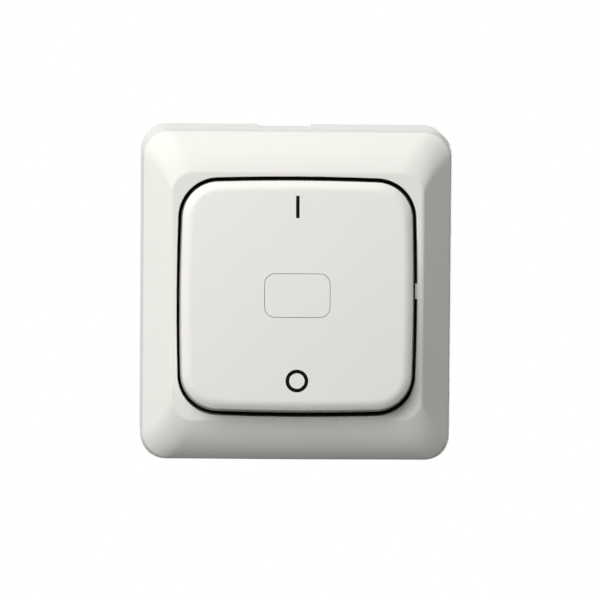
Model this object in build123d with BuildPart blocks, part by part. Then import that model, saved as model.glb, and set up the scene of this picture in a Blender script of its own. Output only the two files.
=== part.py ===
from build123d import *
import math
import os

os.makedirs("parts", exist_ok=True)

# Surface-mounted two-pole light switch: a box on the wall, a sloping bezel, a large rocker
# and the black switching insert behind it. All sizes are in millimetres. The wall is the
# plane y = 0, the front faces -y, x runs to the right seen from the front and z runs up.
# The part lies as it does with its "on" end pressed in.

# Bezel
plate_width = 83.3
plate_height = 88.9
plate_corner = 7.1
ridge_width = 67.8
ridge_height = 67.0
ridge_corner = 6.0
slope_rise = 5.8
slope_bulge = 0.9
skirt_depth = 6.0
skirt_flare = 0.6
bezel_wall = 1.8
foot_round = 0.9
ridge_round = 1.6
lip_wall = 1.6
lip_depth = 5.6
mouth_round = 0.2

# Wall box
box_depth = 33.0
parting_crown = 2.0
parting_gap = 0.1
box_flare = 0.7
box_wall = 2.0
box_floor = 2.2
box_corner = 6.6
wall_hole_radius = 2.2
wall_hole_spacing_x = 50.0
wall_hole_spacing_z = 62.0
wall_boss_radius = 5.0
wall_boss_height = 1.4
post_radius = 3.6
post_rib = 2.0
entry_width = 14.6
entry_offset = -3.0
entry_recess = 0.5
entry_web = 1.0
entry_top_margin = 3.0

# Bezel snap legs
leg_spacing = 44.0
leg_width = 8.0
leg_thickness = 1.4
leg_root = 0.3
leg_reach = 9.5
leg_clearance = 0.25
barb_depth = 0.9
barb_length = 2.2
latch_clearance = 0.3

# Rocker
rocker_width = 63.6
rocker_height = 63.0
rocker_corner = 10.2
side_bow = 0.78
gap_across = 0.7
gap_along = 0.98
rocker_rise = 6.7
rocker_draft = 6.0
rocker_crown = 0.5
shoulder_width = 1.6
shoulder_drop = 0.95
shoulder_round = 0.4
face_round = 4.0
rocker_wall = 1.8
half_throw = 4.5
tab_height = 4.1
tab_rise = 1.7
tab_clearance = 0.1
tab_depth = 2.6
tab_setback = 0.2

# Window in the middle of the rocker
window_width = 17.5
window_height = 11.6
window_corner = 2.7
window_gap = 0.14
window_flange = 1.2
window_flange_depth = 0.7

# Depths inside, stepped down from the rim of the bezel
pivot_drop = 3.6
rocker_rim_lift = 0.6
flange_drop = 4.6
flange_thickness = 2.2
fulcrum_drop = 20.6

# Rocker carrier and its bearings
trunnion_radius = 2.0
running_clearance = 0.05
bearing_thickness = 3.0
bearing_inset = 5.5
bearing_round = 4.0
cheek_thickness = 2.2
cheek_gap = 0.3
hub_radius = 3.3
saddle_length = 22.0
saddle_thickness = 1.8
saddle_height = 2.8
barrel_radius = 3.2
barrel_length = 12.5
carrier_rib = 2.0
hook_width = 8.0
hook_thickness = 1.3
hook_spacing = 21.0
hook_catch = 0.7
hook_catch_depth = 1.4
seat_gap = 0.1

# Poles
pole_inset = 13.0
plunger_radius = 1.8
plunger_bore_gap = 0.08
plunger_nose = 1.5
plunger_length = 8.6
plunger_gap = 0.06
spring_seat_depth = 1.5
spring_wire = 0.5
spring_wire_sides = 8
spring_turns = 5
spring_slack = 0.2

# Moving contacts and terminals
arm_width = 5.0
arm_thickness = 1.0
arm_end_gap = 2.1
arm_lift = 0.3
arm_tilt_ratio = 2.0
fulcrum_round = 0.6
fulcrum_horn = 2.2
horn_width = 0.9
horn_gap = 0.2
tip_inset = 1.9
tip_radius = 1.6
tip_dome = 4.0
tip_height = 1.0
tip_shank = 0.9
tip_head = 0.5
contact_gap = 0.1
fixed_tip_radius = 1.8
fixed_tip_height = 0.8
strip_width = 6.0
strip_thickness = 1.0
strip_clearance = 0.1
stop_width = 2.6
stop_gap = 0.3
terminal_inset = 5.0
clamp_width = 6.4
clamp_thickness = 1.3
clamp_drop = 3.2
screw_radius = 1.5
screw_head_radius = 2.7
screw_head_height = 1.8
screw_slot_width = 0.8
screw_slot_depth = 0.9
screw_fit = 0.1
screw_end = 1.6

# Insert
flange_size = 69.0
flange_corner = 9.0
flange_screw_spacing = 60.0
flange_slot_length = 8.0
insert_size = 46.0
insert_corner = 3.0
insert_wall = 2.0
housing_join = 4.0
base_floor = 5.8
well_across = 4.2
well_along = 5.4
bay_gap = 0.3
partition = 1.0
wire_hole_radius = 1.9
case_screw_inset = 4.5
case_screw_reach = 6.5
flange_screw_radius = 1.75
flange_screw_reach = 10.0
flange_head_radius = 3.2
flange_head_height = 1.9
bay_depth_above_strip = 2.2

# Heights above the wall that follow from these
foot_height = box_depth + skirt_depth
rim_height = foot_height + slope_rise
pivot_height = rim_height - pivot_drop
flange_top = pivot_height - flange_drop
flange_back = flange_top - flange_thickness
fulcrum_height = pivot_height - fulcrum_drop
housing_back = fulcrum_height + housing_join
plate_hollow = rim_height - bezel_wall
lip_back = rim_height - lip_depth
arm_tilt = arm_tilt_ratio * half_throw

# Places inside the insert, stepped in from its sides and ends
insert_half = insert_size / 2
pole_offset = insert_half - pole_inset
bearing_offset = insert_half - bearing_inset
case_screw_offset = insert_half - case_screw_inset
terminal_position = insert_half - terminal_inset
bay_side = clamp_width + 2 * bay_gap
chamber_end = terminal_position - bay_side / 2 - partition
arm_half_length = chamber_end - arm_end_gap
tip_position = arm_half_length - tip_inset

# Where a tilted contact arm puts its domed tip, and so where the fixed contact lies
dome_centre_lift = arm_lift - tip_height + tip_dome
sin_arm = math.sin(math.radians(arm_tilt))
cos_arm = math.cos(math.radians(arm_tilt))
touch_z = -tip_position * cos_arm - dome_centre_lift * sin_arm
touch_height = fulcrum_height - tip_position * sin_arm + dome_centre_lift * cos_arm - tip_dome
fixed_tip_top = touch_height - contact_gap
strip_top = fixed_tip_top - fixed_tip_height
strip_back = strip_top - strip_thickness
chamber_floor = strip_back - strip_clearance
base_back = chamber_floor - base_floor
arm_low_end = fulcrum_height + arm_lift * cos_arm - tip_position * sin_arm
stop_top = arm_low_end - stop_gap - stop_width / 2 * math.tan(math.radians(arm_tilt))

# Planes: parallel to the wall, and turned about the pivot or the fulcrum
wall = Plane(origin=(0, 0, 0), x_dir=(1, 0, 0), z_dir=(0, -1, 0))
tilt = math.radians(half_throw)
rocker_plane = Plane(
    origin=(0, -pivot_height, 0), x_dir=(1, 0, 0), z_dir=(0, -math.cos(tilt), math.sin(tilt))
)


def arm_plane(pole):
    """Plane of one contact arm at its fulcrum, turned against the rocker."""
    origin = (pole, -fulcrum_height, 0)
    return Plane(origin=origin, x_dir=(1, 0, 0), z_dir=(0, -cos_arm, -sin_arm))


def bowed_outline(width, height, corner):
    """Outline with slightly bowed sides and round corners, in its own plane."""
    half_x = width / 2 - side_bow
    half_y = height / 2 - side_bow
    with BuildSketch() as outline:
        with BuildLine():
            ThreePointArc((-half_x, -half_y), (0, -height / 2), (half_x, -half_y))
            ThreePointArc((half_x, -half_y), (width / 2, 0), (half_x, half_y))
            ThreePointArc((half_x, half_y), (0, height / 2), (-half_x, half_y))
            ThreePointArc((-half_x, half_y), (-width / 2, 0), (-half_x, -half_y))
        make_face()
        fillet(outline.vertices(), corner)
    return outline.sketch


def behind_parting(shift):
    """Block behind the crowned surface that parts the bezel from the box, moved out by shift."""
    side = plate_width
    edge = plate_width / 2 + skirt_flare
    bottom = plate_height
    with BuildPart() as block:
        with BuildSketch(Plane.XY):
            with BuildLine():
                crown = -(box_depth + parting_crown + shift)
                ThreePointArc((-edge, -box_depth - shift), (0, crown), (edge, -box_depth - shift))
                Polyline(
                    (edge, -box_depth - shift),
                    (side, -box_depth - shift),
                    (side, box_depth),
                    (-side, box_depth),
                    (-side, -box_depth - shift),
                    (-edge, -box_depth - shift),
                )
            make_face()
        extrude(amount=bottom, both=True)
    return block.part


def pan_screw(plane, shank_radius, reach, head_radius, head_height):
    """Screw with a slotted head that stands on the plane and a shank that runs back from it."""
    with BuildPart() as screw:
        with BuildSketch(plane):
            Circle(head_radius)
        extrude(amount=head_height)
        chamfer(screw.edges().filter_by(GeomType.CIRCLE).sort_by(plane_axis(plane))[-1], head_height / 3)
        with BuildSketch(plane):
            Circle(shank_radius)
        extrude(amount=-reach)
        with BuildSketch(plane.offset(head_height)):
            Rectangle(2 * head_radius + 1, screw_slot_width)
        extrude(amount=-screw_slot_depth, mode=Mode.SUBTRACT)
    return screw.part


def plane_axis(plane):
    """Axis through a plane's origin along its normal."""
    return Axis(plane.origin, plane.z_dir)


skirt_width = plate_width + 2 * skirt_flare
skirt_height = plate_height + 2 * skirt_flare
front_width = skirt_width - 2 * parting_gap
front_height = skirt_height - 2 * parting_gap
back_width = front_width + 2 * box_flare
back_height = front_height + 2 * box_flare
flare_past_front = 2 * box_flare * parting_crown / box_depth
opening_width = rocker_width + 2 * gap_across
opening_height = rocker_height + 2 * gap_along
opening_corner = rocker_corner + gap_across
leg_face = front_height / 2 - box_wall - leg_clearance
latch_height = box_depth - leg_reach + barb_length

# Snap legs of the bezel, one in each quarter, that latch in windows of the box
with BuildPart() as snap_legs:
    with BuildSketch(wall.offset(box_depth - leg_reach)):
        with Locations((leg_spacing / 2, leg_face - leg_thickness / 2)):
            Rectangle(leg_width, leg_thickness)
    extrude(amount=leg_reach + skirt_depth + leg_root)
    with BuildSketch(Plane.YZ.offset(leg_spacing / 2 - leg_width / 2)):
        with BuildLine():
            Polyline(
                (-latch_height + barb_length, leg_face),
                (-latch_height, leg_face + barb_depth),
                (-latch_height, leg_face),
                close=True,
            )
        make_face()
    extrude(amount=leg_width)
    mirror(about=Plane.YZ)
    mirror(about=Plane.XY)

# Opening of the bezel and the lip round it
opening = bowed_outline(opening_width, opening_height, opening_corner)
lip_outline = bowed_outline(
    opening_width + 2 * lip_wall, opening_height + 2 * lip_wall, opening_corner + lip_wall
)
box_side = behind_parting(0)
bezel_cut = behind_parting(parting_gap)

# Halfway outline of the slopes: straight at the sides, bulging forward at the top and bottom
slope_run = (plate_height - ridge_height) / 2
slope_length = math.hypot(slope_run, slope_rise)
bulge_share = 0.5 + slope_bulge * slope_run / (slope_length * slope_rise)
bulge_height = foot_height + slope_rise * bulge_share
bulge_width = plate_width - (plate_width - ridge_width) * bulge_share
bulge_length = (plate_height + ridge_height) / 2 + 2 * slope_bulge * slope_rise / slope_length

# Bezel: flared skirt, four slopes and a narrow flat rim round the rocker
with BuildPart() as bezel:
    with BuildSketch(wall.offset(box_depth)):
        RectangleRounded(skirt_width, skirt_height, plate_corner)
    with BuildSketch(wall.offset(foot_height)):
        RectangleRounded(plate_width, plate_height, plate_corner)
    loft(ruled=True)
    with BuildSketch(wall.offset(foot_height)):
        RectangleRounded(plate_width, plate_height, plate_corner)
    with BuildSketch(wall.offset(bulge_height)):
        RectangleRounded(bulge_width, bulge_length, (plate_corner + ridge_corner) / 2)
    with BuildSketch(wall.offset(rim_height)):
        RectangleRounded(ridge_width, ridge_height, ridge_corner)
    loft()
    foot_edges = bezel.edges().filter_by_position(Axis.Y, -foot_height, -foot_height)
    fillet(foot_edges, foot_round)
    ridge_edges = bezel.edges().filter_by_position(Axis.Y, -rim_height, -rim_height)
    fillet(ridge_edges, ridge_round)
    # hollow behind the skirt and the slopes
    inner_corner = plate_corner - bezel_wall
    with BuildSketch(wall.offset(box_depth)):
        RectangleRounded(skirt_width - 2 * bezel_wall, skirt_height - 2 * bezel_wall, inner_corner)
    with BuildSketch(wall.offset(foot_height - bezel_wall / 2)):
        RectangleRounded(plate_width - 2 * bezel_wall, plate_height - 2 * bezel_wall, inner_corner)
    loft(ruled=True, mode=Mode.SUBTRACT)
    with BuildSketch(wall.offset(foot_height - bezel_wall / 2)):
        RectangleRounded(plate_width - 2 * bezel_wall, plate_height - 2 * bezel_wall, inner_corner)
    with BuildSketch(wall.offset(plate_hollow)):
        RectangleRounded(ridge_width - bezel_wall / 2, ridge_height - bezel_wall / 2, inner_corner)
    loft(ruled=True, mode=Mode.SUBTRACT)
    add(bezel_cut, mode=Mode.SUBTRACT)
    with BuildSketch(wall.offset(lip_back)):
        add(lip_outline)
    extrude(amount=lip_depth - bezel_wall / 2)
    with BuildSketch(wall.offset(lip_back)):
        add(opening)
    extrude(amount=lip_depth, mode=Mode.SUBTRACT)
    rim_face = bezel.faces().sort_by(plane_axis(wall))[-1]
    fillet(rim_face.inner_wires()[0].edges(), mouth_round)
    add(snap_legs.part)
    # small rib in the right side of the opening that keeps the rocker from rattling
    with BuildSketch(wall.offset(rim_height - tab_setback)):
        with Locations((opening_width / 2, tab_rise)):
            Rectangle(2 * (gap_across - tab_clearance), tab_height)
    extrude(amount=-tab_depth)

# Box on the wall, with posts for the insert, drilled back and thin webs to break out for cable
with BuildPart() as mounting_box:
    with BuildSketch(wall):
        RectangleRounded(back_width, back_height, box_corner + box_flare)
    with BuildSketch(wall.offset(box_depth + parting_crown)):
        RectangleRounded(front_width - flare_past_front, front_height - flare_past_front, box_corner)
    loft(ruled=True)
    inner_flare = 2 * box_flare * (1 - box_floor / box_depth)
    with BuildSketch(wall.offset(box_floor)):
        RectangleRounded(
            front_width - 2 * box_wall + inner_flare,
            front_height - 2 * box_wall + inner_flare,
            box_corner - box_wall + box_flare,
        )
    with BuildSketch(wall.offset(box_depth + parting_crown)):
        RectangleRounded(
            front_width - 2 * box_wall - flare_past_front,
            front_height - 2 * box_wall - flare_past_front,
            box_corner - box_wall,
        )
    loft(ruled=True, mode=Mode.SUBTRACT)
    add(box_side, mode=Mode.INTERSECT)
    post_places = [(-flange_screw_spacing / 2, 0), (flange_screw_spacing / 2, 0)]
    rib_length = front_width / 2 - flange_screw_spacing / 2 - box_wall / 2
    rib_centre = flange_screw_spacing / 2 + rib_length / 2
    with BuildSketch(wall.offset(box_floor)):
        with Locations(*post_places):
            Circle(post_radius)
    extrude(amount=flange_back - seat_gap - box_floor)
    with BuildSketch(wall.offset(box_floor)):
        with Locations((-rib_centre, 0), (rib_centre, 0)):
            Rectangle(rib_length, post_rib)
    extrude(amount=box_depth - post_rib - box_floor)
    with BuildSketch(wall.offset(flange_back)):
        with Locations(*post_places):
            Circle(flange_screw_radius + screw_fit)
    extrude(amount=-flange_screw_reach - seat_gap, mode=Mode.SUBTRACT)
    with BuildSketch(wall.offset(box_floor)):
        with GridLocations(wall_hole_spacing_x, wall_hole_spacing_z, 2, 2):
            Circle(wall_boss_radius)
    extrude(amount=wall_boss_height)
    with BuildSketch(wall):
        with GridLocations(wall_hole_spacing_x, wall_hole_spacing_z, 2, 2):
            Circle(wall_hole_radius)
    extrude(amount=box_floor + wall_boss_height, mode=Mode.SUBTRACT)
    # windows that the barbs of the bezel latch in
    with BuildSketch(wall.offset(latch_height - barb_length - latch_clearance)):
        with GridLocations(leg_spacing, 2 * (leg_face + barb_depth / 2), 2, 2):
            Rectangle(leg_width + 2 * latch_clearance, barb_depth + 2 * latch_clearance)
    extrude(amount=barb_length + 2 * latch_clearance, mode=Mode.SUBTRACT)
    # shallow panels in the top and bottom walls, thinned from inside to break out for cable
    entry_top = box_depth - entry_top_margin
    entry_lean = box_flare * entry_top / box_depth
    for end in (-1, 1):
        with BuildSketch(wall):
            with Locations((entry_offset, end * back_height / 2)):
                Rectangle(entry_width, 2 * entry_recess)
        with BuildSketch(wall.offset(entry_top)):
            with Locations((entry_offset, end * (back_height / 2 - entry_lean))):
                Rectangle(entry_width, 2 * entry_recess)
        loft(ruled=True, mode=Mode.SUBTRACT)
    entry_inside = back_height / 2 - entry_recess - entry_web
    with BuildSketch(wall.offset(box_floor)):
        with Locations((entry_offset, entry_inside - box_wall), (entry_offset, box_wall - entry_inside)):
            Rectangle(entry_width, 2 * box_wall)
    extrude(amount=entry_top / 2, mode=Mode.SUBTRACT)

# Rocker: drafted cap with bowed sides, a slightly crowned face and wide soft shoulders
rocker_outline = bowed_outline(rocker_width, rocker_height, rocker_corner)
rocker_hollow = bowed_outline(
    rocker_width - 2 * rocker_wall, rocker_height - 2 * rocker_wall, rocker_corner - rocker_wall
)
crown_radius = (rocker_height / 2) ** 2 / (2 * rocker_crown)
face_lift = rocker_rim_lift + rocker_rise
face_inside = face_lift - rocker_wall
hook_reach = face_inside - saddle_height + hook_catch_depth
window_inside = face_inside - window_flange_depth
crown_centre = Plane(
    origin=rocker_plane.from_local_coords((0, 0, face_lift - crown_radius)),
    x_dir=-rocker_plane.z_dir,
    z_dir=(1, 0, 0),
)
with BuildPart() as rocker:
    with BuildSketch(rocker_plane.offset(rocker_rim_lift)):
        add(rocker_outline)
    extrude(amount=rocker_rise + rocker_crown, taper=rocker_draft)
    with Locations(crown_centre):
        Sphere(crown_radius, mode=Mode.INTERSECT)
    face = rocker.faces().sort_by(plane_axis(rocker_plane))[-1]
    chamfer(face.edges(), length=shoulder_width, length2=shoulder_drop, reference=face)
    sides = rocker.faces().filter_by(lambda side: abs(side.normal_at().dot(rocker_plane.z_dir)) < 0.3)
    fillet([side.edges().sort_by(plane_axis(rocker_plane))[-1] for side in sides], shoulder_round)
    face = rocker.faces().sort_by(plane_axis(rocker_plane))[-1]
    fillet(face.edges(), face_round)
    with BuildSketch(rocker_plane.offset(rocker_rim_lift)):
        add(rocker_hollow)
    extrude(amount=rocker_rise - rocker_wall, taper=rocker_draft, mode=Mode.SUBTRACT)
    with BuildSketch(rocker_plane.offset(face_inside - rocker_wall)):
        RectangleRounded(
            window_width + 2 * window_gap, window_height + 2 * window_gap, window_corner + window_gap
        )
    extrude(amount=3 * rocker_wall, mode=Mode.SUBTRACT)
    # hooks that clip under the two edges of the carrier
    hook_face = saddle_length / 2 + seat_gap
    with BuildSketch(rocker_plane.offset(face_inside)):
        with GridLocations(hook_spacing, 2 * hook_face + hook_thickness, 2, 2):
            Rectangle(hook_width, hook_thickness)
    extrude(amount=-hook_reach)
    with BuildSketch(rocker_plane.offset(saddle_height - seat_gap)):
        with GridLocations(hook_spacing, 2 * hook_face - hook_catch, 2, 2):
            Rectangle(hook_width, hook_catch + seat_gap)
    extrude(amount=-hook_catch_depth + seat_gap)

# Window set in the rocker from behind, flush with its face
with BuildPart() as indicator_window:
    with BuildSketch(rocker_plane.offset(window_inside)):
        RectangleRounded(window_width, window_height, window_corner)
    extrude(amount=rocker_wall + window_flange_depth + rocker_crown)
    with Locations(crown_centre):
        Sphere(crown_radius, mode=Mode.INTERSECT)
    with BuildSketch(rocker_plane.offset(face_inside - seat_gap)):
        RectangleRounded(
            window_width + 2 * window_flange, window_height + 2 * window_flange, window_corner
        )
    extrude(amount=seat_gap - window_flange_depth)

# Carrier: saddle, cheeks with the trunnions, and a barrel for each plunger
cheek_inner = bearing_offset - bearing_thickness / 2 - cheek_gap - cheek_thickness
cheek_outer = cheek_inner + cheek_thickness
trunnion_end = bearing_offset + bearing_thickness / 2
with BuildPart() as rocker_carrier:
    with BuildSketch(rocker_plane.offset(saddle_height)):
        Rectangle(2 * cheek_outer, saddle_length)
        Rectangle(window_width - 2 * window_flange, window_height - 2 * window_flange, mode=Mode.SUBTRACT)
    extrude(amount=saddle_thickness)
    side_plane = Plane(
        origin=(cheek_inner, -pivot_height, 0), x_dir=rocker_plane.y_dir, z_dir=(1, 0, 0)
    )
    with BuildSketch(side_plane):
        Circle(hub_radius)
        with BuildLine():
            Polyline(
                (-saddle_length / 3, saddle_height + saddle_thickness / 2),
                (saddle_length / 3, saddle_height + saddle_thickness / 2),
                (hub_radius, 0),
                (-hub_radius, 0),
                close=True,
            )
        make_face()
    extrude(amount=cheek_thickness)
    with BuildSketch(side_plane):
        Circle(trunnion_radius)
    extrude(amount=trunnion_end - cheek_inner)
    mirror(about=Plane.YZ)
    with BuildSketch(rocker_plane.offset(saddle_height)):
        Rectangle(2 * cheek_inner, carrier_rib)
        with Locations((-pole_offset, 0), (pole_offset, 0)):
            Circle(barrel_radius)
    extrude(amount=-saddle_height - hub_radius)
    with BuildSketch(rocker_plane):
        with Locations((-pole_offset, 0), (pole_offset, 0)):
            Circle(barrel_radius)
    extrude(amount=-barrel_length)
    with BuildSketch(rocker_plane.offset(-barrel_length)):
        with Locations((-pole_offset, 0), (pole_offset, 0)):
            Circle(plunger_radius + plunger_bore_gap)
    extrude(amount=barrel_length - spring_seat_depth, mode=Mode.SUBTRACT)

# Housing: mounting flange, bearings for the carrier and a well for each barrel
with BuildPart() as insert_housing:
    with BuildSketch(wall.offset(flange_back)):
        RectangleRounded(flange_size, flange_size, flange_corner)
    extrude(amount=flange_thickness)
    with BuildSketch(wall.offset(flange_back)):
        with Locations(*post_places):
            SlotOverall(flange_slot_length, 2 * (flange_screw_radius + screw_fit), rotation=90)
    extrude(amount=flange_thickness, mode=Mode.SUBTRACT)
    with BuildSketch(wall.offset(housing_back)):
        RectangleRounded(insert_size, insert_size, insert_corner)
    extrude(amount=flange_back - housing_back)
    pocket_length = insert_size / 2 - insert_wall - well_along - insert_wall
    pocket_centre = well_along + insert_wall + pocket_length / 2
    with BuildSketch(wall.offset(housing_back)):
        with Locations((0, pocket_centre), (0, -pocket_centre)):
            Rectangle(insert_size - 2 * insert_wall, pocket_length)
    extrude(amount=flange_back - housing_back - insert_wall, mode=Mode.SUBTRACT)
    with BuildSketch(wall.offset(housing_back)):
        with Locations((-pole_offset, 0), (pole_offset, 0)):
            Rectangle(2 * well_across, 2 * well_along)
    extrude(amount=flange_top - housing_back, mode=Mode.SUBTRACT)
    # bearing brackets
    bearing_foot = flange_top - flange_thickness / 2 - pivot_height
    bearing_plane = Plane(
        origin=(bearing_offset - bearing_thickness / 2, -pivot_height, 0),
        x_dir=(0, 0, 1),
        z_dir=(1, 0, 0),
    )
    for shift in (0, -2 * bearing_offset):
        with BuildSketch(bearing_plane.offset(shift)):
            Circle(bearing_round)
            with BuildLine():
                Polyline(
                    (-bearing_round, 0),
                    (bearing_round, 0),
                    (bearing_round + bearing_thickness, bearing_foot),
                    (-bearing_round - bearing_thickness, bearing_foot),
                    close=True,
                )
            make_face()
            Circle(trunnion_radius + running_clearance, mode=Mode.SUBTRACT)
        extrude(amount=bearing_thickness)
    with BuildSketch(wall.offset(housing_back)):
        with Locations((-case_screw_offset, 0), (case_screw_offset, 0)):
            Circle(screw_radius + screw_fit)
    extrude(amount=case_screw_reach, mode=Mode.SUBTRACT)

# Base: a chamber for each contact arm and a bay for each terminal
bay_top = strip_top + bay_depth_above_strip
terminal_places = [
    (side * pole_offset, end * terminal_position) for side in (-1, 1) for end in (-1, 1)
]
with BuildPart() as insert_base:
    with BuildSketch(wall.offset(base_back)):
        RectangleRounded(insert_size, insert_size, insert_corner)
    extrude(amount=housing_back - seat_gap - base_back)
    with BuildSketch(wall.offset(chamber_floor)):
        with Locations((-pole_offset, 0), (pole_offset, 0)):
            Rectangle(2 * well_across, 2 * chamber_end)
    extrude(amount=housing_back - chamber_floor, mode=Mode.SUBTRACT)
    with BuildSketch(wall.offset(base_back)):
        with GridLocations(2 * pole_offset, 2 * terminal_position, 2, 2):
            Rectangle(bay_side, bay_side)
    extrude(amount=bay_top - base_back, mode=Mode.SUBTRACT)
    with BuildSketch(wall.offset(chamber_floor)):
        with GridLocations(2 * pole_offset, 2 * (chamber_end + partition / 2), 2, 2):
            Rectangle(strip_width + 2 * strip_clearance, 3 * partition)
    extrude(amount=strip_thickness + 2 * strip_clearance, mode=Mode.SUBTRACT)
    with BuildSketch(wall.offset(chamber_floor + strip_thickness + 2 * strip_clearance)):
        with Locations((-pole_offset, tip_position), (pole_offset, tip_position)):
            Rectangle(2 * well_across, stop_width)
    extrude(amount=stop_top - chamber_floor - strip_thickness - 2 * strip_clearance)
    wire_centre = wire_hole_radius - strip_back
    for end in (-1, 1):
        with BuildSketch(Plane.XY.offset(end * terminal_position)):
            with Locations((-pole_offset, wire_centre), (pole_offset, wire_centre)):
                Circle(wire_hole_radius - strip_clearance)
        extrude(amount=end * insert_size / 2, mode=Mode.SUBTRACT)
    with BuildSketch(wall.offset(base_back)):
        with Locations((-case_screw_offset, 0), (case_screw_offset, 0)):
            Circle(screw_head_radius + screw_fit)
    extrude(amount=screw_head_height, mode=Mode.SUBTRACT)
    with BuildSketch(wall.offset(base_back)):
        with Locations((-case_screw_offset, 0), (case_screw_offset, 0)):
            Circle(screw_radius + screw_fit)
    extrude(amount=housing_back - base_back, mode=Mode.SUBTRACT)

pieces = {
    "bezel": bezel.part,
    "mounting_box": mounting_box.part,
    "rocker": rocker.part,
    "indicator_window": indicator_window.part,
    "rocker_carrier": rocker_carrier.part,
    "insert_housing": insert_housing.part,
    "insert_base": insert_base.part,
}

# Plungers, springs, moving contacts, terminals and tips, one set for each pole
plunger_centre = fulcrum_drop - arm_lift - arm_thickness - plunger_gap - plunger_nose
plunger_top = plunger_centre - plunger_length
spring_length = plunger_top - spring_seat_depth - spring_wire - 2 * spring_slack
spring_start = plunger_top - spring_wire / 2 - spring_slack
spring_radius = plunger_radius - spring_wire / 2 - plunger_bore_gap
spring_pitch = spring_length / spring_turns
groove_radius = fulcrum_round + running_clearance
for side, word in ((-1, "left"), (1, "right")):
    pole = side * pole_offset

    with BuildPart() as plunger:
        with BuildSketch(rocker_plane.offset(-plunger_centre)):
            with Locations((pole, 0)):
                Circle(plunger_radius)
        extrude(amount=plunger_length)
        nose_place = rocker_plane.offset(-plunger_centre)
        with BuildSketch(nose_place):
            with Locations((pole, 0)):
                Circle(plunger_nose)
        extrude(amount=-plunger_nose)
        nose_edges = plunger.faces().sort_by(plane_axis(rocker_plane))[0].edges()
        fillet(nose_edges, plunger_nose - running_clearance)
    pieces["plunger_" + word] = plunger.part

    with BuildPart() as plunger_spring:
        coil_foot = rocker_plane.from_local_coords((pole, 0, -spring_start))
        with BuildLine() as coil_line:
            Helix(
                spring_pitch, spring_length, spring_radius,
                center=coil_foot, direction=rocker_plane.z_dir,
            )
        with BuildSketch(Plane(origin=coil_line.line @ 0, z_dir=coil_line.line % 0)):
            RegularPolygon(spring_wire / 2, spring_wire_sides)
        sweep(path=coil_line.line, is_frenet=True)
    pieces["plunger_spring_" + word] = plunger_spring.part

    arm_seat = arm_plane(pole)
    with BuildPart() as contact_arm:
        with BuildSketch(arm_seat.offset(arm_lift)):
            Rectangle(arm_width, 2 * arm_half_length)
        extrude(amount=arm_thickness)
        fillet(contact_arm.edges().filter_by(Axis((0, 0, 0), arm_seat.z_dir)), arm_width / 4)
        with BuildSketch(Plane(origin=(pole, -fulcrum_height, 0), x_dir=(0, 0, 1), z_dir=(1, 0, 0))):
            Circle(groove_radius)
        extrude(amount=arm_width, both=True, mode=Mode.SUBTRACT)
        with BuildSketch(arm_seat):
            with Locations((0, -tip_position)):
                Circle(tip_shank)
        extrude(amount=2 * arm_thickness, mode=Mode.SUBTRACT)
    pieces["contact_arm_" + word] = contact_arm.part

    with BuildPart() as moving_tip:
        tip_seat = arm_seat.offset(arm_lift)
        with BuildSketch(tip_seat):
            with Locations((0, -tip_position)):
                Circle(tip_radius)
        extrude(amount=-tip_height)
        dome_place = Plane(
            origin=arm_seat.from_local_coords((0, -tip_position, dome_centre_lift)),
            x_dir=(1, 0, 0),
            z_dir=arm_seat.z_dir,
        )
        with Locations(dome_place):
            Sphere(tip_dome, mode=Mode.INTERSECT)
        with BuildSketch(tip_seat):
            with Locations((0, -tip_position)):
                Circle(tip_shank - running_clearance / 2)
        extrude(amount=arm_thickness + tip_head / 2)
        with BuildSketch(tip_seat.offset(arm_thickness)):
            with Locations((0, -tip_position)):
                Circle(tip_shank + tip_head)
        extrude(amount=tip_head)
    pieces["moving_tip_" + word] = moving_tip.part

    with BuildPart() as fixed_tip:
        with BuildSketch(wall.offset(strip_top)):
            with Locations((pole, touch_z)):
                Circle(fixed_tip_radius)
        extrude(amount=fixed_tip_height)
        chamfer(fixed_tip.faces().sort_by(plane_axis(wall))[-1].edges(), fixed_tip_height / 3)
        with BuildSketch(wall.offset(strip_top)):
            with Locations((pole, touch_z)):
                Circle(tip_shank - running_clearance / 2)
        extrude(amount=-strip_thickness)
    pieces["fixed_tip_" + word] = fixed_tip.part

    terminal_end = terminal_position + clamp_width / 2
    with BuildPart() as line_terminal:
        with BuildSketch(wall.offset(strip_back)):
            with Locations((pole, (terminal_end - fulcrum_round) / 2)):
                Rectangle(strip_width, terminal_end + fulcrum_round)
        extrude(amount=strip_thickness)
        with BuildSketch(wall.offset(strip_top)):
            with Locations((pole, 0)):
                Rectangle(arm_width + 2 * horn_gap + 2 * horn_width, 2 * fulcrum_round)
        extrude(amount=fulcrum_height + fulcrum_horn - strip_top)
        with BuildSketch(wall.offset(fulcrum_height)):
            with Locations((pole, 0)):
                Rectangle(arm_width + 2 * horn_gap, 4 * fulcrum_round)
        extrude(amount=2 * fulcrum_horn, mode=Mode.SUBTRACT)
        knife_plane = Plane(
            origin=(pole - arm_width / 2 - horn_gap, -fulcrum_height, 0), x_dir=(0, 0, 1), z_dir=(1, 0, 0)
        )
        with BuildSketch(knife_plane):
            Circle(fulcrum_round)
        extrude(amount=arm_width + 2 * horn_gap)
        with BuildSketch(wall.offset(strip_back)):
            with Locations((pole, terminal_position)):
                Circle(screw_radius + running_clearance)
        extrude(amount=strip_thickness, mode=Mode.SUBTRACT)
    pieces["line_terminal_" + word] = line_terminal.part

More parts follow.
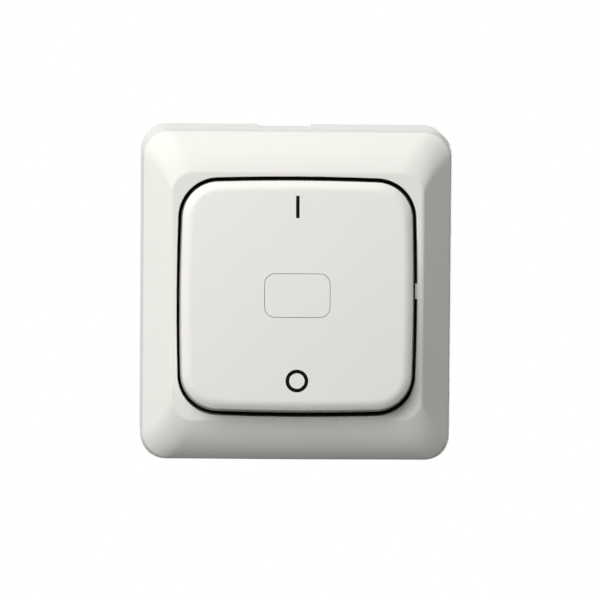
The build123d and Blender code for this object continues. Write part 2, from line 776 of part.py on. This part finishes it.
    with BuildPart() as load_terminal:
        load_start = -touch_z - fixed_tip_radius - fulcrum_round
        with BuildSketch(wall.offset(strip_back)):
            with Locations((pole, -(terminal_end + load_start) / 2)):
                Rectangle(strip_width, terminal_end - load_start)
            with Locations((pole, touch_z)):
                Circle(tip_shank, mode=Mode.SUBTRACT)
            with Locations((pole, -terminal_position)):
                Circle(screw_radius + running_clearance, mode=Mode.SUBTRACT)
        extrude(amount=strip_thickness)
    pieces["load_terminal_" + word] = load_terminal.part

# Clamp plate and screw of each terminal, reached from the back of the insert
clamp_back = strip_back - clamp_drop
with BuildPart() as terminal_clamps:
    with BuildSketch(wall.offset(clamp_back)):
        with Locations(*terminal_places):
            Rectangle(clamp_width, clamp_width)
            Circle(screw_radius + screw_fit, mode=Mode.SUBTRACT)
    extrude(amount=clamp_thickness)
pieces["terminal_clamps"] = terminal_clamps.part


def screw_group(places, height, shank_radius, reach, head_radius, head_height, from_back):
    """Like screws at these places, their heads on this level and facing the wall or the front."""
    facing = Plane(origin=(0, -height, 0), x_dir=(1, 0, 0), z_dir=(0, 1 if from_back else -1, 0))
    screw = pan_screw(facing, shank_radius, reach, head_radius, head_height)
    with BuildPart() as group:
        for x, z in places:
            add(screw.moved(Location((x, 0, z))))
    return group.part


terminal_reach = clamp_drop + strip_thickness + screw_end
pieces["terminal_screws"] = screw_group(
    terminal_places, clamp_back - seat_gap, screw_radius, terminal_reach,
    screw_head_radius, screw_head_height, True,
)
case_places = [(-case_screw_offset, 0), (case_screw_offset, 0)]
case_reach = housing_back - base_back - screw_head_height + case_screw_reach - screw_end
pieces["case_screws"] = screw_group(
    case_places, base_back + screw_head_height - seat_gap, screw_radius, case_reach,
    screw_head_radius, screw_head_height - seat_gap, True,
)
pieces["insert_screws"] = screw_group(
    post_places, flange_top + seat_gap, flange_screw_radius, flange_screw_reach,
    flange_head_radius, flange_head_height, False,
)

for name, piece in pieces.items():
    piece.label = name
    export_step(piece, f"parts/{name}.step")
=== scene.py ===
"""Studio picture of a surface-mounted light switch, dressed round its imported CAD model.

The switch is warm white moulded plastic: a wall box, a sloping bezel and a large rocker
with a flush window and printed on and off marks. Sizes are in metres and the frame is the
CAD model's own: the wall is the plane y = 0, the front faces -y and z runs up.
"""

import logging
import math
from dataclasses import dataclass, field
from enum import Enum
from typing import Any

import bpy
from mathutils import Matrix, Vector


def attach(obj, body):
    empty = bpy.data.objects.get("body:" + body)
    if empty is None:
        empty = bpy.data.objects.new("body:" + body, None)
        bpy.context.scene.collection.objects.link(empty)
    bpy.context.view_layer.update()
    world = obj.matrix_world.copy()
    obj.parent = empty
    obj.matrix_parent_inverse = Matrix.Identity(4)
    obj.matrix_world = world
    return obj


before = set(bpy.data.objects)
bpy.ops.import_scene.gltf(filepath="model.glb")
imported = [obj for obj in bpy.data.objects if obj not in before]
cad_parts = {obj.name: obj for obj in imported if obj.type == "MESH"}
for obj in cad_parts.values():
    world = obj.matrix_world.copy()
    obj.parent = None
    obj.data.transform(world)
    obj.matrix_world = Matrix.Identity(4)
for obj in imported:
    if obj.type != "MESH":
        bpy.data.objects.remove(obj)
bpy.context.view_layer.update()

MM = 0.001
WHITE = (1.0, 1.0, 1.0, 1.0)
Colour = tuple[float, float, float]

log = logging.getLogger("light_switch")


class Link:
    """A shader socket that can be used in sums, so that node maths reads as plain maths."""

    def __init__(self, tree: "NodeTree", socket: bpy.types.NodeSocket) -> None:
        """Keeps the tree that the socket belongs to and the socket."""
        self.tree = tree
        self.socket = socket

    def _maths(self, operation: str, *values: Any) -> "Link":
        """Adds one Math node.

        Args:
            operation: the Math node's operation.
            values: its inputs in order, numbers or links.

        Returns:
            The node's result.
        """
        inputs = dict(enumerate(values))
        return self.tree.node("ShaderNodeMath", {"operation": operation}, inputs)

    def __add__(self, other: Any) -> "Link":
        """Sum of two values."""
        return self._maths("ADD", self, other)

    def __radd__(self, other: Any) -> "Link":
        """Sum with a number on the left."""
        return self._maths("ADD", other, self)

    def __sub__(self, other: Any) -> "Link":
        """Difference of two values."""
        return self._maths("SUBTRACT", self, other)

    def __rsub__(self, other: Any) -> "Link":
        """Difference from a number on the left."""
        return self._maths("SUBTRACT", other, self)

    def __mul__(self, other: Any) -> "Link":
        """Product of two values."""
        return self._maths("MULTIPLY", self, other)

    def __rmul__(self, other: Any) -> "Link":
        """Product with a number on the left."""
        return self._maths("MULTIPLY", other, self)

    def clamped(self, low: float, high: float) -> "Link":
        """The value kept between two numbers."""
        return self._maths("MINIMUM", self._maths("MAXIMUM", self, low), high)

    def spread(self, middle: float, width: float) -> "Link":
        """A pattern from 0 to 1, made to vary evenly about a middle value."""
        return (self - 0.5) * width + middle


class NodeTree:
    """A node tree, emptied, with one method that makes its nodes."""

    def __init__(self, tree: bpy.types.NodeTree) -> None:
        """Empties the tree and keeps it."""
        self.tree = tree
        self.tree.nodes.clear()

    def make(
        self,
        kind: str,
        settings: dict[str, Any] | None = None,
        inputs: dict[Any, Any] | None = None,
    ) -> bpy.types.Node:
        """Adds a node.

        Args:
            kind: the node's type name.
            settings: attributes that are set before its sockets.
            inputs: socket names or numbers, with a value or a link for each.

        Returns:
            The node.
        """
        node = self.tree.nodes.new(kind)
        for key, value in (settings or {}).items():
            setattr(node, key, value)
        for key, value in (inputs or {}).items():
            self.feed_socket(node.inputs[key], value)
        return node

    def node(
        self,
        kind: str,
        settings: dict[str, Any] | None = None,
        inputs: dict[Any, Any] | None = None,
        result: Any = 0,
    ) -> Link:
        """Adds a node and picks one of its outputs.

        Args:
            kind: the node's type name.
            settings: attributes that are set before its sockets.
            inputs: socket names or numbers, with a value or a link for each.
            result: name or number of the output that is returned.

        Returns:
            The chosen output.
        """
        return Link(self, self.make(kind, settings, inputs).outputs[result])

    def feed_socket(self, socket: bpy.types.NodeSocket, value: Any) -> None:
        """Links or sets one input socket.

        Args:
            socket: the input that is fed.
            value: a link, or a value that the socket takes.
        """
        if isinstance(value, Link):
            self.tree.links.new(value.socket, socket)
        else:
            socket.default_value = value

    def seen_straight(self) -> Link:
        """Tells rays that show a surface as it is from those that only light something else.

        Returns:
            1 for rays from the camera and for those that are reflected or let through, else 0.
        """
        camera, glossy, through = (
            self.node("ShaderNodeLightPath", result=name)
            for name in ("Is Camera Ray", "Is Glossy Ray", "Is Transmission Ray")
        )
        return (camera + glossy + through).clamped(0.0, 1.0)


class Surface(NodeTree):
    """A material's tree: one Principled surface and what feeds it."""

    def __init__(self, name: str) -> None:
        """Starts a material that holds a Principled surface and an output alone.

        Args:
            name: the material's name.
        """
        self.material = bpy.data.materials.new(name)
        self.material.use_nodes = True
        super().__init__(self.material.node_tree)
        self.principled = self.make("ShaderNodeBsdfPrincipled")
        self.plain = Link(self, self.principled.outputs["BSDF"])
        self.output = self.make("ShaderNodeOutputMaterial", None, {"Surface": self.plain})

    def feed(self, socket: str, value: Any) -> None:
        """Sets or links one socket of the Principled surface."""
        self.feed_socket(self.principled.inputs[socket], value)

    def show(self, result: Link) -> None:
        """Puts another result in the Principled surface's place at the output."""
        self.feed_socket(self.output.inputs["Surface"], result)

    def mix(self, factor: Any, first: Any, second: Any) -> Link:
        """Blend of two colours.

        Args:
            factor: 0 gives the first colour and 1 the second.
            first: RGBA or a link.
            second: RGBA or a link.

        Returns:
            The mixed colour.
        """
        colour_inputs = {"Factor": factor, 6: first, 7: second}
        return self.node("ShaderNodeMix", {"data_type": "RGBA"}, colour_inputs, result=2)

    def place(self) -> Link:
        """The surface point in the piece's own metres."""
        return self.node("ShaderNodeTexCoord", result="Object")

    def noise(self, size: float, detail: float = 2.0, roughness: float = 0.5) -> Link:
        """Cloudy pattern from 0 to 1.

        Args:
            size: width of one cloud in metres.
            detail: number of finer layers.
            roughness: strength of the finer layers.

        Returns:
            The pattern's value.
        """
        inputs = {
            "Vector": self.place(),
            "Scale": 1.0 / size,
            "Detail": detail,
            "Roughness": roughness,
        }
        return self.node("ShaderNodeTexNoise", None, inputs, result="Fac")

    def bump(self, height: Any, strength: float, distance: float) -> None:
        """Feeds the surface's normal from a height.

        Args:
            height: pattern from 0 to 1.
            strength: how much of the bump shows.
            distance: depth in metres that a height of 1 stands for.
        """
        inputs = {"Strength": strength, "Distance": distance, "Height": height}
        self.feed("Normal", self.node("ShaderNodeBump", None, inputs))


def rgba(colour: Colour, factor: float = 1.0) -> tuple[float, float, float, float]:
    """A linear colour, scaled, with full alpha."""
    return (colour[0] * factor, colour[1] * factor, colour[2] * factor, 1.0)


@dataclass(frozen=True)
class MouldedPlastic:
    """Moulded plastic: faint flow marks in its colour and a fine texture from the tool."""

    name: str
    colour: Colour
    roughness: float = 0.3
    roughness_spread: float = 0.08
    specular: float = 0.25
    cloud: float = 30.0 * MM
    cloud_detail: float = 3.0
    tone_spread: float = 0.015
    patch: float = 6.0 * MM
    grain: float = 0.25 * MM
    grain_depth: float = 0.004 * MM
    wave: float = 14.0 * MM
    wave_detail: float = 1.0
    wave_depth: float = 0.02 * MM

    def material(self) -> bpy.types.Material:
        """Builds the material.

        Returns:
            The finished material.
        """
        surface = Surface(self.name)
        low = rgba(self.colour, 1.0 - self.tone_spread)
        high = rgba(self.colour, 1.0 + self.tone_spread)
        cloud = surface.noise(self.cloud, self.cloud_detail)
        surface.feed("Base Color", surface.mix(cloud, low, high))
        patch = surface.noise(self.patch)
        surface.feed("Roughness", patch.spread(self.roughness, self.roughness_spread))
        surface.feed("Specular IOR Level", self.specular)
        grain = surface.noise(self.grain) * self.grain_depth
        wave = surface.noise(self.wave, self.wave_detail) * self.wave_depth
        surface.bump(grain + wave, strength=1.0, distance=1.0)
        return surface.material


@dataclass(frozen=True)
class BareMetal:
    """Stamped, turned or drawn metal with fine tool marks and a faint stain."""

    name: str
    colour: Colour
    roughness: float = 0.32
    roughness_spread: float = 0.18
    cloud: float = 2.5 * MM
    cloud_detail: float = 4.0
    cloud_roughness: float = 0.6
    stain: float = 0.1
    mark: float = 0.12 * MM
    mark_detail: float = 1.0
    mark_depth: float = 0.01 * MM
    mark_strength: float = 0.25

    def material(self) -> bpy.types.Material:
        """Builds the material.

        Returns:
            The finished material.
        """
        surface = Surface(self.name)
        cloud = surface.noise(self.cloud, self.cloud_detail, self.cloud_roughness)
        stained = rgba(self.colour, 1.0 - self.stain)
        surface.feed("Base Color", surface.mix(cloud, stained, rgba(self.colour)))
        surface.feed("Metallic", 1.0)
        marks = surface.noise(self.mark, self.mark_detail)
        surface.feed("Roughness", marks.spread(self.roughness, self.roughness_spread))
        surface.bump(marks, self.mark_strength, self.mark_depth)
        return surface.material


@dataclass(frozen=True)
class PrintedInk:
    """Pad-printed ink, almost without sheen."""

    name: str
    colour: Colour
    roughness: float = 0.42
    roughness_spread: float = 0.1
    specular: float = 0.04
    speck: float = 0.15 * MM
    tone_spread: float = 0.2
    film_depth: float = 0.004 * MM
    film_strength: float = 0.3

    def material(self) -> bpy.types.Material:
        """Builds the material.

        Returns:
            The finished material.
        """
        surface = Surface(self.name)
        speck = surface.noise(self.speck)
        low = rgba(self.colour, 1.0 - self.tone_spread)
        high = rgba(self.colour, 1.0 + self.tone_spread)
        surface.feed("Base Color", surface.mix(speck, low, high))
        surface.feed("Roughness", speck.spread(self.roughness, self.roughness_spread))
        surface.feed("Specular IOR Level", self.specular)
        surface.bump(speck, self.film_strength, self.film_depth)
        return surface.material


WARM_WHITE: Colour = (0.83, 0.82, 0.772)
# Near-black, slightly olive tone of the insert: partly the dark plastic's own colour, partly
# painted shade, set to the shadow tone in the gap round the rocker.
INSERT_BLACK_AND_GAP_SHADE: Colour = (0.012, 0.012, 0.009)
CARRIER_GREY: Colour = (0.2, 0.2, 0.19)
NYLON_CREAM: Colour = (0.72, 0.7, 0.62)
BRASS_YELLOW: Colour = (0.78, 0.57, 0.26)
SILVER_PALE: Colour = (0.86, 0.85, 0.82)
SPRING_GREY: Colour = (0.42, 0.42, 0.43)
ZINC_GREY: Colour = (0.68, 0.69, 0.7)
# Dark tone of the insert screws, which sit deep in the gap round the rocker: painted shade for
# the shadow there, on plain steel.
RECESSED_SCREW_SHADE: Colour = (0.045, 0.045, 0.047)
INK_BLACK: Colour = (0.004, 0.004, 0.004)


class Finish(Enum):
    """Every finish on the switch."""

    BEZEL = MouldedPlastic("bezel_gloss_plastic", WARM_WHITE, roughness=0.32, specular=0.08)
    BOX = MouldedPlastic("box_plastic", WARM_WHITE, specular=0.4)
    ROCKER = MouldedPlastic("rocker_plastic", WARM_WHITE, roughness=0.32)
    WINDOW = MouldedPlastic("window_plastic", WARM_WHITE, roughness=0.32)
    # Insert plastic whose colour is partly painted shade for the gap round the rocker.
    BLACK = MouldedPlastic("insert_black_plastic_and_gap_shade", INSERT_BLACK_AND_GAP_SHADE, roughness=0.5, specular=0.1)
    CARRIER = MouldedPlastic("carrier_grey_plastic", CARRIER_GREY, roughness=0.45)
    NYLON = MouldedPlastic("plunger_nylon", NYLON_CREAM, roughness=0.4)
    BRASS = BareMetal("stamped_brass", BRASS_YELLOW)
    SILVER = BareMetal("silver_contact", SILVER_PALE, roughness=0.25)
    SPRING = BareMetal("spring_steel", SPRING_GREY, roughness=0.3)
    ZINC = BareMetal("zinc_plated_steel", ZINC_GREY, roughness=0.28)
    # Insert screws in painted shade: their steel is coloured dark for the shadow deep in the
    # gap.
    BLACKENED = BareMetal("blackened_steel", RECESSED_SCREW_SHADE, roughness=0.45)
    INK = PrintedInk("black_ink", INK_BLACK)


DRESSED_NODES: dict[Finish, tuple[str, ...]] = {
    Finish.BEZEL: ("bezel",),
    Finish.BOX: ("mounting_box",),
    Finish.ROCKER: ("rocker",),
    Finish.WINDOW: ("indicator_window",),
    # The insert parts carry the painted gap shade.
    Finish.BLACK: ("insert_housing", "insert_base"),
    Finish.CARRIER: ("rocker_carrier",),
    Finish.NYLON: ("plunger_left", "plunger_right"),
    Finish.BRASS: (
        "line_terminal_left",
        "line_terminal_right",
        "load_terminal_left",
        "load_terminal_right",
        "contact_arm_left",
        "contact_arm_right",
    ),
    Finish.SILVER: (
        "moving_tip_left",
        "moving_tip_right",
        "fixed_tip_left",
        "fixed_tip_right",
    ),
    Finish.SPRING: ("plunger_spring_left", "plunger_spring_right"),
    Finish.ZINC: ("terminal_clamps", "terminal_screws", "case_screws"),
    # The insert screws carry the painted shade of the deep gap.
    Finish.BLACKENED: ("insert_screws",),
}


@dataclass
class Wardrobe:
    """Puts each finish on the pieces that are made of it."""

    made: dict[Finish, bpy.types.Material] = field(default_factory=dict)

    def material(self, finish: Finish) -> bpy.types.Material:
        """Gives a finish's material, which is built the first time that it is asked for.

        Args:
            finish: the finish that is wanted.

        Returns:
            Its material.
        """
        if finish not in self.made:
            self.made[finish] = finish.value.material()
        return self.made[finish]

    def put_on(self, piece: bpy.types.Object, finish: Finish) -> None:
        """Makes the finish the piece's only material."""
        piece.data.materials.clear()
        piece.data.materials.append(self.material(finish))

    def dress(self) -> None:
        """Gives every CAD node its material."""
        for finish, names in DRESSED_NODES.items():
            for name in names:
                self.put_on(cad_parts[name], finish)
                log.info("dressed %s in %s", name, finish.value.name)


def deselect_all() -> None:
    """Leaves edit mode, with nothing selected."""
    if bpy.context.object and bpy.context.object.mode != "OBJECT":
        bpy.ops.object.mode_set(mode="OBJECT")
    bpy.ops.object.select_all(action="DESELECT")


def settle(piece: bpy.types.Object, place: Matrix) -> None:
    """Moves a piece to its place and bakes the place into its mesh.

    Args:
        piece: the mesh object, which ends at the origin, unturned and unscaled.
        place: the matrix that takes it from where it lies to its place.
    """
    deselect_all()
    piece.select_set(True)
    bpy.context.view_layer.objects.active = piece
    piece.matrix_world = place @ piece.matrix_world
    bpy.ops.object.transform_apply(location=True, rotation=True, scale=True)


@dataclass
class RockerMarks:
    """The printed bar and ring on the rocker's face."""

    wardrobe: Wardrobe
    pivot_height: float = 41.2 * MM
    half_throw: float = math.radians(4.5)
    face_lift: float = 7.3 * MM
    bar_width: float = 0.95 * MM
    bar_length: float = 6.05 * MM
    bar_rise: float = 23.9 * MM
    bar_corner_share: float = 0.08
    bar_corner_steps: int = 3
    bar_cuts: int = 3
    ring_radius: float = 3.06 * MM
    ring_line: float = 0.98 * MM
    ring_rise: float = -22.98 * MM
    ring_sides: int = 96
    ring_cuts: int = 1
    ink_thickness: float = 0.02 * MM
    body: str = "rocker_group"

    def face_place(self, rise: float) -> Matrix:
        """Place on the rocker's face, this far above its middle.

        Args:
            rise: distance from the pivot's line along the face.

        Returns:
            The matrix that takes a flat drawing on the XY plane to that place.
        """
        upright = Matrix.Rotation(math.radians(90.0), 4, "X")
        turned = Matrix.Rotation(-self.half_throw, 4, "X")
        lifted = Matrix.Translation((0.0, rise, self.face_lift))
        pivot = Matrix.Translation((0.0, -self.pivot_height, 0.0))
        return pivot @ turned @ upright @ lifted

    def print_on(self, mark: bpy.types.Object, name: str, rise: float) -> None:
        """Lays a flat mark on the rocker's face, gives it the ink's thickness and inks it.

        Args:
            mark: flat mesh on the XY plane.
            name: the piece's name.
            rise: how far above the rocker's middle it goes.
        """
        mark.name = name
        mark.data.name = name
        settle(mark, self.face_place(rise))
        wrap = mark.modifiers.new("lie_on_face", "SHRINKWRAP")
        wrap.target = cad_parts["rocker"]
        wrap.wrap_method = "NEAREST_SURFACEPOINT"
        wrap.wrap_mode = "ABOVE_SURFACE"
        wrap.offset = self.ink_thickness
        bpy.ops.object.modifier_apply(modifier=wrap.name)
        ink = mark.modifiers.new("ink_thickness", "SOLIDIFY")
        ink.thickness = self.ink_thickness / 2
        ink.offset = -1.0
        bpy.ops.object.modifier_apply(modifier=ink.name)
        self.wardrobe.put_on(mark, Finish.INK)
        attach(mark, self.body)
        log.info("printed %s", name)

    def on_bar(self) -> None:
        """Prints the upright bar at the on end."""
        deselect_all()
        bpy.ops.mesh.primitive_plane_add(size=1.0)
        bar = bpy.context.object
        bpy.ops.object.mode_set(mode="EDIT")
        bpy.ops.mesh.select_all(action="SELECT")
        bpy.ops.transform.resize(value=(self.bar_width, self.bar_length, 1.0))
        corner = self.bar_width * self.bar_corner_share
        bpy.ops.mesh.bevel(offset=corner, segments=self.bar_corner_steps, affect="VERTICES")
        bpy.ops.mesh.select_all(action="SELECT")
        bpy.ops.mesh.quads_convert_to_tris()
        bpy.ops.mesh.subdivide(number_cuts=self.bar_cuts)
        bpy.ops.object.mode_set(mode="OBJECT")
        self.print_on(bar, "on_mark", self.bar_rise)

    def off_ring(self) -> None:
        """Prints the ring at the off end."""
        deselect_all()
        bpy.ops.mesh.primitive_circle_add(
            vertices=self.ring_sides, radius=self.ring_radius, fill_type="NGON"
        )
        ring = bpy.context.object
        bpy.ops.object.mode_set(mode="EDIT")
        bpy.ops.mesh.select_all(action="SELECT")
        bpy.ops.mesh.inset(thickness=self.ring_line, depth=0.0)
        bpy.ops.mesh.delete(type="FACE")
        bpy.ops.mesh.select_all(action="SELECT")
        bpy.ops.mesh.subdivide(number_cuts=self.ring_cuts)
        bpy.ops.object.mode_set(mode="OBJECT")
        self.print_on(ring, "off_mark", self.ring_rise)

    def build(self) -> None:
        """Prints both marks."""
        self.on_bar()
        self.off_ring()


@dataclass
class SoftLight:
    """One large soft light, aimed at the switch."""

    name: str
    direction: tuple[float, float, float]
    power: float
    size: float
    distance: float = 1.4

    def build(self, target: Vector) -> None:
        """Adds the light.

        Args:
            target: the point that it faces.
        """
        lamp = bpy.data.lights.new(self.name, "AREA")
        lamp.shape = "SQUARE"
        lamp.size = self.size
        lamp.energy = self.power
        light = bpy.data.objects.new(self.name, lamp)
        bpy.context.collection.objects.link(light)
        away = Vector(self.direction).normalized()
        light.location = target + away * self.distance
        light.rotation_euler = away.to_track_quat("Z", "Y").to_euler()


@dataclass
class Studio:
    """Floor, lights, white surround and the camera at the photograph's angle."""

    target: Vector = field(default_factory=lambda: Vector((0.0, -44.2 * MM, 0.0)))
    camera_distance: float = 1.25
    camera_azimuth: float = math.radians(-1.3)
    camera_elevation: float = math.radians(3.4)
    camera_roll: float = math.radians(0.43)
    focal_length: float = 277.8
    sensor: float = 36.0
    near_clip: float = 0.05
    frame_pixels: float = 600.0
    target_pixel: tuple[float, float] = (297.0, 296.8)
    floor_drop: float = 0.45
    floor_size: float = 3.0
    floor_shade: float = 0.15
    floor_roughness: float = 0.9
    floor_glow: float = 0.9
    surround: float = 0.03
    lights: tuple[SoftLight, ...] = (
        SoftLight("key", (-0.43, -0.66, 0.61), 29.4, 1.35),
        SoftLight("rear_fill", (0.55, 0.8, -0.15), 8.0, 0.9),
    )

    def build(self) -> None:
        """Sets up the whole studio."""
        self.lay_floor()
        self.surround_with_white()
        for light in self.lights:
            light.build(self.target)
        self.set_camera()
        bpy.context.scene.view_settings.view_transform = "Standard"

    def lay_floor(self) -> None:
        """Plain pale floor well below the switch, on which its soft shadow still shows."""
        deselect_all()
        below = (0.0, 0.0, -self.floor_drop)
        bpy.ops.mesh.primitive_plane_add(size=self.floor_size, location=below)
        floor = bpy.context.object
        floor.name = "floor"
        bpy.ops.object.transform_apply(location=True, rotation=True, scale=True)
        surface = Surface("floor_white")
        surface.feed("Base Color", rgba((self.floor_shade,) * 3))
        surface.feed("Roughness", self.floor_roughness)
        glow = surface.node("ShaderNodeEmission", None, {"Color": WHITE, "Strength": 1.0})
        seen = surface.seen_straight() * self.floor_glow
        mixed = {0: seen, 1: surface.plain, 2: glow}
        surface.show(surface.node("ShaderNodeMixShader", None, mixed))
        floor.data.materials.append(surface.material)

    def surround_with_white(self) -> None:
        """World that shows white to the camera and in reflections, and gives little light."""
        world = bpy.data.worlds.new("surround")
        bpy.context.scene.world = world
        world.use_nodes = True
        sky = NodeTree(world.node_tree)
        shown = sky.node("ShaderNodeBackground", None, {"Color": WHITE, "Strength": 1.0})
        lit = sky.node("ShaderNodeBackground", None, {"Color": WHITE, "Strength": self.surround})
        mixed = sky.node("ShaderNodeMixShader", None, {0: sky.seen_straight(), 1: lit, 2: shown})
        sky.make("ShaderNodeOutputWorld", None, {"Surface": mixed})

    def set_camera(self) -> None:
        """Long lens, a little above and to the left of the switch."""
        lens = bpy.data.cameras.new("camera")
        lens.lens = self.focal_length
        lens.sensor_width = self.sensor
        lens.clip_start = self.near_clip
        half = self.frame_pixels / 2.0
        lens.shift_x = (half - self.target_pixel[0]) / self.frame_pixels
        lens.shift_y = (self.target_pixel[1] - half) / self.frame_pixels
        camera = bpy.data.objects.new("camera", lens)
        bpy.context.collection.objects.link(camera)
        level = math.cos(self.camera_elevation)
        sideways = math.sin(self.camera_azimuth) * level
        forwards = -math.cos(self.camera_azimuth) * level
        away = Vector((sideways, forwards, math.sin(self.camera_elevation)))
        camera.location = self.target + away * self.camera_distance
        roll = Matrix.Rotation(self.camera_roll, 4, "Z")
        facing = away.to_track_quat("Z", "Y").to_matrix().to_4x4() @ roll
        camera.rotation_euler = facing.to_euler()
        bpy.context.scene.camera = camera


def main() -> None:
    """Dresses the CAD nodes, adds the printed marks and sets up the studio."""
    logging.basicConfig(level=logging.INFO, format="%(name)s: %(message)s")
    wardrobe = Wardrobe()
    wardrobe.dress()
    RockerMarks(wardrobe).build()
    Studio().build()


if __name__ == "__main__":
    main()
